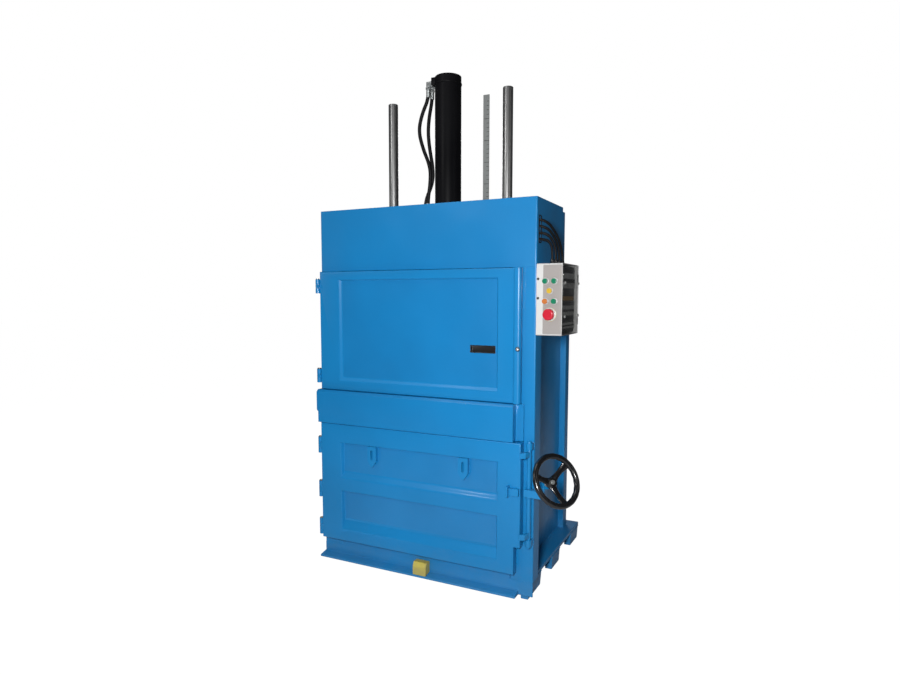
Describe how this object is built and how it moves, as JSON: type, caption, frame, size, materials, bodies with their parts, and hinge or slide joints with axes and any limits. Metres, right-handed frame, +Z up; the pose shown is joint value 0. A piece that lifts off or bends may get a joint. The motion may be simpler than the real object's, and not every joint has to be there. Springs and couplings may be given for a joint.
{
  "type": "recycling baler",
  "caption": "Upright baling press: a steel box with a feed door over a bale door, an overhead hydraulic ram with guide rods, a hand-wheel door lock and a control cabinet.",
  "frame": {"origin": "on the floor under the middle of the base", "axes": "+X to the machine's right seen from its front, +Y to its back, +Z up"},
  "size_m": [1.6464, 1.2496, 2.975],
  "materials": {
    "blue_paint": "gloss",
    "black_paint": "gloss",
    "dark_grey_paint": "satin",
    "yellow_paint": "gloss",
    "bare_steel": "satin",
    "chrome": "polished",
    "zinc": "satin",
    "hose_rubber": "matte",
    "black_plastic": "gloss",
    "grey_plastic": "satin",
    "white_plastic": "satin",
    "smoked_lid": "gloss",
    "green_plastic": "gloss",
    "yellow_plastic": "gloss",
    "orange_plastic": "gloss",
    "red_plastic": "gloss"
  },
  "bodies": {
    "frame": {"base_frame": "blue_paint", "base_feet": "blue_paint", "sill_stop": "yellow_paint", "front_posts": "blue_paint", "rear_posts": "blue_paint", "side_walls": "blue_paint", "back_wall": "blue_paint", "chamber_floor": "bare_steel", "front_beam": "blue_paint", "header_box": "blue_paint", "header_cover": "blue_paint", "top_beams": "blue_paint", "guide_bushes": "bare_steel", "cylinder_flange": "black_paint", "cylinder_barrel": "black_paint", "cylinder_cap": "black_paint", "hinge_leaves": "blue_paint", "hinge_pins": "bare_steel", "lock_bearings": "blue_paint", "hose_fittings": "zinc", "hose_front": "hose_rubber", "hose_rear": "hose_rubber", "oil_tank": "dark_grey_paint", "pump_motor": "dark_grey_paint", "motor_cowl": "dark_grey_paint", "valve_block": "bare_steel", "filler_cap": "black_plastic", "pressure_pipes": "zinc", "cabinet_shell": "grey_plastic", "switch_gear": "white_plastic", "button_collars": "zinc", "cable_glands": "black_plastic", "cable_1": "hose_rubber", "cable_2": "hose_rubber", "cable_3": "hose_rubber", "cable_4": "hose_rubber"},
    "platen": {"platen": "blue_paint", "piston_rod": "chrome", "guide_rods": "chrome", "stroke_gauge": "zinc"},
    "lower_door": {"lower_door_frame": "blue_paint", "lower_door_panels": "blue_paint", "strap_hooks": "blue_paint", "lock_lug": "blue_paint"},
    "upper_door": {"upper_door_frame": "blue_paint", "upper_door_panel": "blue_paint", "upper_door_grip": "black_plastic"},
    "lock": {"lock_shaft": "blue_paint", "lock_lever": "blue_paint"},
    "pad": {"screw_pad": "bare_steel"},
    "wheel": {"hand_wheel": "black_plastic", "clamp_screw": "bare_steel"},
    "lid": {"cabinet_lid": "smoked_lid"},
    "button_green_left": {"button_green_left": "green_plastic"},
    "button_green_right": {"button_green_right": "green_plastic"},
    "button_yellow": {"button_yellow": "yellow_plastic"},
    "button_orange": {"button_orange": "orange_plastic"},
    "button_green_low": {"button_green_low": "green_plastic"},
    "button_stop": {"button_stop": "red_plastic"}
  },
  "joints": [
    {"name": "platen_stroke", "type": "slide", "parent": "frame", "child": "platen", "axis": [0, 0, -1], "range_m": [0, 0.635]},
    {"name": "lower_door_hinge", "type": "hinge", "parent": "frame", "child": "lower_door", "pos_m": [-0.694, -0.559, 0.5], "axis": [0, 0, -1], "range_deg": [0, 120]},
    {"name": "upper_door_hinge", "type": "hinge", "parent": "frame", "child": "upper_door", "pos_m": [-0.694, -0.559, 1.45], "axis": [0, 0, -1], "range_deg": [0, 120]},
    {"name": "lock_turn", "type": "hinge", "parent": "frame", "child": "lock", "pos_m": [0.674, -0.553, 0.618], "axis": [0, 0, -1], "range_deg": [0, 25]},
    {"name": "screw_feed", "type": "slide", "parent": "lock", "child": "pad", "axis": [-0.7473, 0.4853, -0.454], "range_m": [0, 0.02401]},
    {"name": "wheel_turn", "type": "hinge", "parent": "pad", "child": "wheel", "pos_m": [0.80237, -0.57316, 0.69257], "axis": [-0.7473, 0.4853, -0.454], "range_deg": [0, 1440]},
    {"name": "lid_hinge", "type": "hinge", "parent": "frame", "child": "lid", "pos_m": [0.83, -0.2247, 1.643], "axis": [0, 0, 1], "range_deg": [0, 100]},
    {"name": "button_green_left_press", "type": "slide", "parent": "frame", "child": "button_green_left", "axis": [0, 1, 0], "range_m": [0, 0.004], "stiffness_N_per_m": 800},
    {"name": "button_green_right_press", "type": "slide", "parent": "frame", "child": "button_green_right", "axis": [0, 1, 0], "range_m": [0, 0.004], "stiffness_N_per_m": 800},
    {"name": "button_yellow_press", "type": "slide", "parent": "frame", "child": "button_yellow", "axis": [0, 1, 0], "range_m": [0, 0.004], "stiffness_N_per_m": 800},
    {"name": "button_orange_press", "type": "slide", "parent": "frame", "child": "button_orange", "axis": [0, 1, 0], "range_m": [0, 0.004], "stiffness_N_per_m": 800},
    {"name": "button_green_low_press", "type": "slide", "parent": "frame", "child": "button_green_low", "axis": [0, 1, 0], "range_m": [0, 0.004], "stiffness_N_per_m": 800},
    {"name": "button_stop_press", "type": "slide", "parent": "frame", "child": "button_stop", "axis": [0, 1, 0], "range_m": [0, 0.004], "stiffness_N_per_m": 2000}
  ],
  "couplings": [
    {"joint": "screw_feed", "follows": "wheel_turn", "m_per_rad": 0.00095493}
  ]
}
